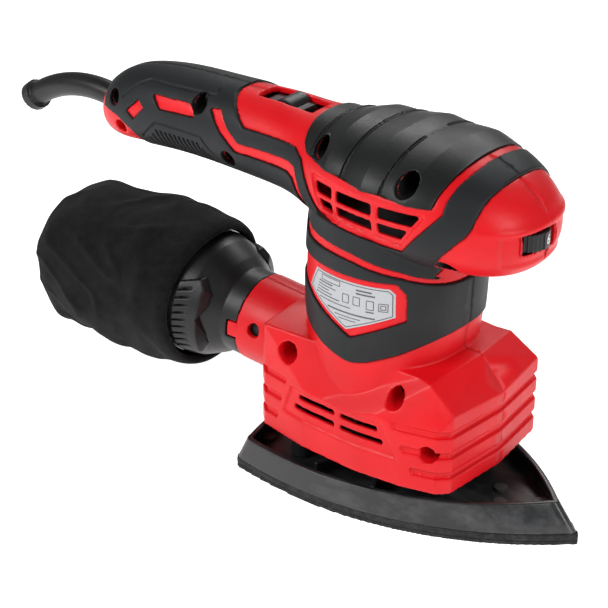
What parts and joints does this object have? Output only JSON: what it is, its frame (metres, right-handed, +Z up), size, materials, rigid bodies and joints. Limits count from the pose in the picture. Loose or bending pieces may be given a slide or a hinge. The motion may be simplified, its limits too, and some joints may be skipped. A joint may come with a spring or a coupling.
{
  "type": "detail mouse sander",
  "caption": "Hand-held detail sander with an orbiting iron-shaped pad, slide switch, speed dial, vented two-part motor housing with rubber grips and a pull-off dust bag.",
  "frame": {"origin": "the motor axis where it meets the sole of the hook sheet", "axes": "+Z up along the motor axis, +X towards the pad's pointed tip, -Y the half with the screw heads"},
  "size_m": [0.2749, 0.0796, 0.146],
  "materials": {
    "red_plastic": "satin, fine texture",
    "grip_rubber": "matt soft overmould",
    "black_plastic": "satin",
    "platen_plastic": "semi-gloss, lightly scuffed",
    "plate_film": "satin printed film",
    "screw_steel": "zinc plated",
    "steel": "ground",
    "laminations": "stacked sheet",
    "copper": "enamelled wire",
    "carbon": "matt",
    "bag_fabric": "napped woven",
    "foam": "soft foam",
    "hook_fabric": "hook pile",
    "board": "fibreglass laminate",
    "bracket_plastic": "glass filled"
  },
  "bodies": {
    "housing": {"housing_right": "red_plastic", "housing_left": "red_plastic", "grip_right": "grip_rubber", "grip_left": "grip_rubber", "palm_cap": "grip_rubber", "rating_plate": "plate_film", "latch_lug": "red_plastic", "cord_guard": "grip_rubber", "cord_clamp": "black_plastic", "clamp_screws": "screw_steel", "housing_screws": "screw_steel", "switch_tray": "black_plastic", "switch_body": "black_plastic", "dial_potentiometer": "black_plastic", "control_board": "board", "field_core": "laminations", "field_coils": "copper", "lower_bearing": "steel", "upper_bearing": "steel", "bearing_cup": "grip_rubber", "lower_bracket": "bracket_plastic", "upper_bracket": "bracket_plastic", "carbon_brushes": "carbon", "brush_holders": "black_plastic", "fan_cover": "bracket_plastic", "rubber_posts": "grip_rubber"},
    "slider": {"switch_slider": "black_plastic", "switch_link": "black_plastic"},
    "dial": {"speed_dial": "black_plastic"},
    "rotor": {"motor_shaft": "steel", "armature_core": "laminations", "armature_windings": "copper", "commutator": "copper", "fan": "black_plastic", "eccentric": "steel"},
    "platen": {"platen": "platen_plastic", "platen_bearing": "steel", "platen_rivets": "screw_steel", "foam_pad": "foam", "hook_sheet": "hook_fabric"},
    "dust_box": {"dust_adapter": "black_plastic", "adapter_grips": "black_plastic", "bag_hoop": "steel", "dust_bag": "bag_fabric"}
  },
  "joints": [
    {"name": "switch_slide", "type": "slide", "parent": "housing", "child": "slider", "axis": [1, 0, 0], "range_m": [0, 0.005]},
    {"name": "dial_turn", "type": "hinge", "parent": "housing", "child": "dial", "pos_m": [0.0532, -0.004, 0.118], "axis": [0, 0, 1], "range_deg": [-250, 0]},
    {"name": "rotor_spin", "type": "hinge", "parent": "housing", "child": "rotor", "pos_m": [0, 0, 0.07], "axis": [0, 0, 1], "continuous": true},
    {"name": "platen_orbit", "type": "hinge", "parent": "rotor", "child": "platen", "pos_m": [0.0008, 0, 0.0125], "axis": [0, 0, 1], "continuous": true},
    {"name": "dust_box_pull", "type": "slide", "parent": "housing", "child": "dust_box", "axis": [-0.9962, 0, 0.0872], "range_m": [0, 0.03]}
  ],
  "couplings": [
    {"joint": "platen_orbit", "follows": "rotor_spin", "ratio": -1}
  ]
}
